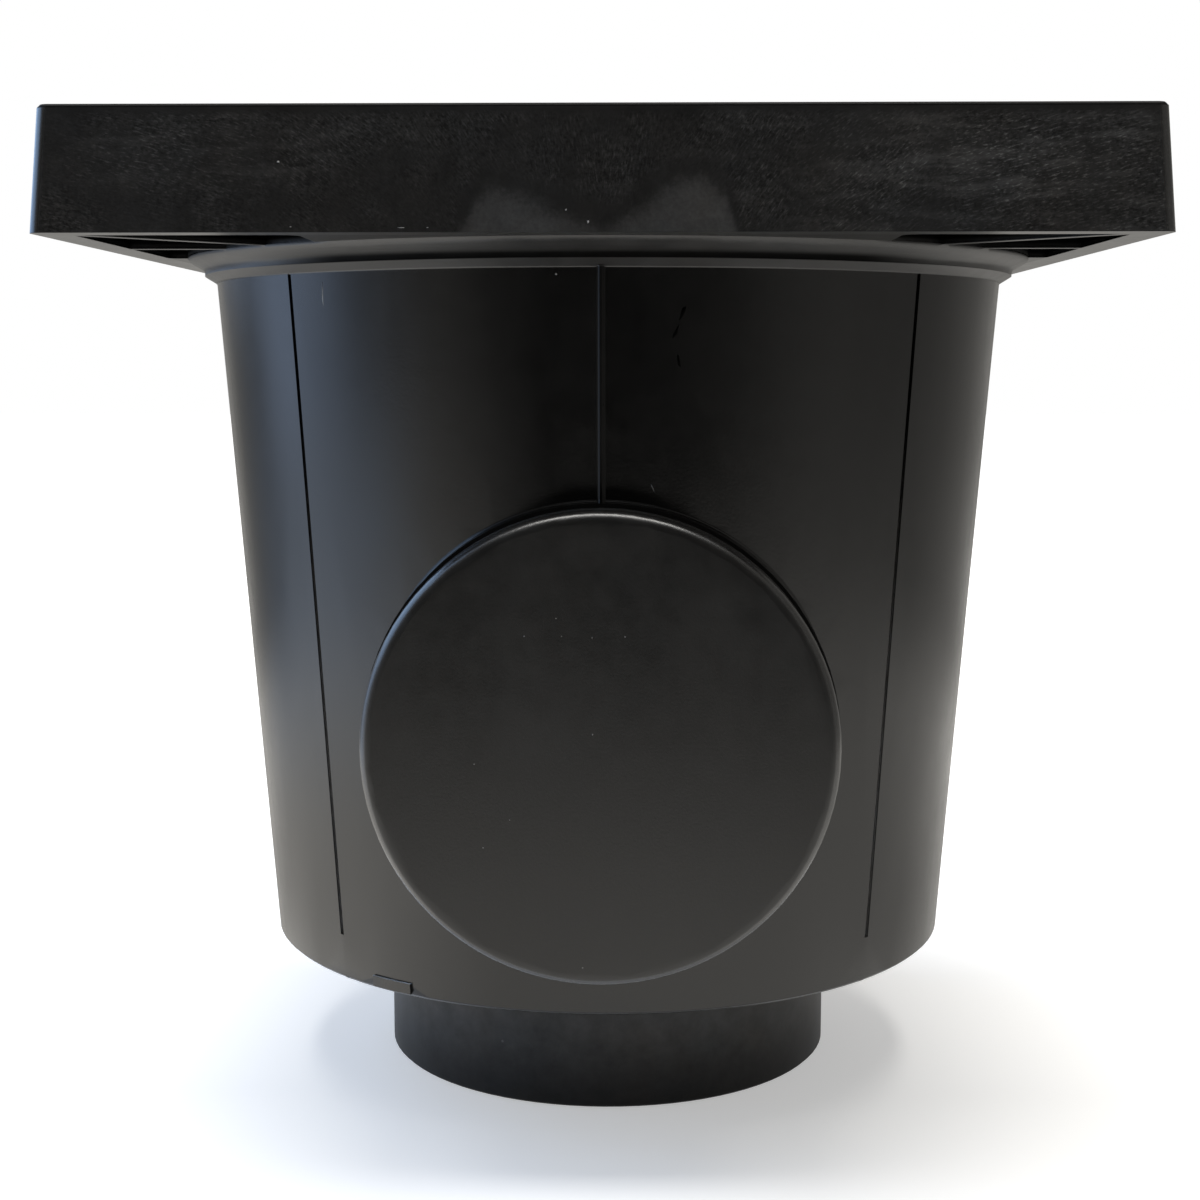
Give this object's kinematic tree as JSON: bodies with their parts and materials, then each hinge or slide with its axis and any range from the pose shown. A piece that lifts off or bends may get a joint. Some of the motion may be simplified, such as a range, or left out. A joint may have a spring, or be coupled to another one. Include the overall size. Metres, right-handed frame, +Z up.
{
  "type": "gully drain",
  "caption": "Black plastic gully drain: square frame with a drop-in slotted grate, tapered pot with a lift-out silt basket, blanked side spigot and open bottom spigot.",
  "frame": {"origin": "centre of the bottom spigot's end face, on the plane that the gully stands on", "axes": "+Z up along the pot's axis, -Y out of the side spigot, +X to the right as seen from the side spigot"},
  "size_m": [0.25, 0.25, 0.25],
  "materials": {
    "body_plastic": "satin black moulded polypropylene",
    "grate_plastic": "fine-grained black moulded polypropylene",
    "basket_plastic": "matte black moulded polypropylene"
  },
  "bodies": {
    "root": {"gully_body": "body_plastic", "grate": "grate_plastic", "silt_basket": "basket_plastic"}
  },
  "joints": []
}
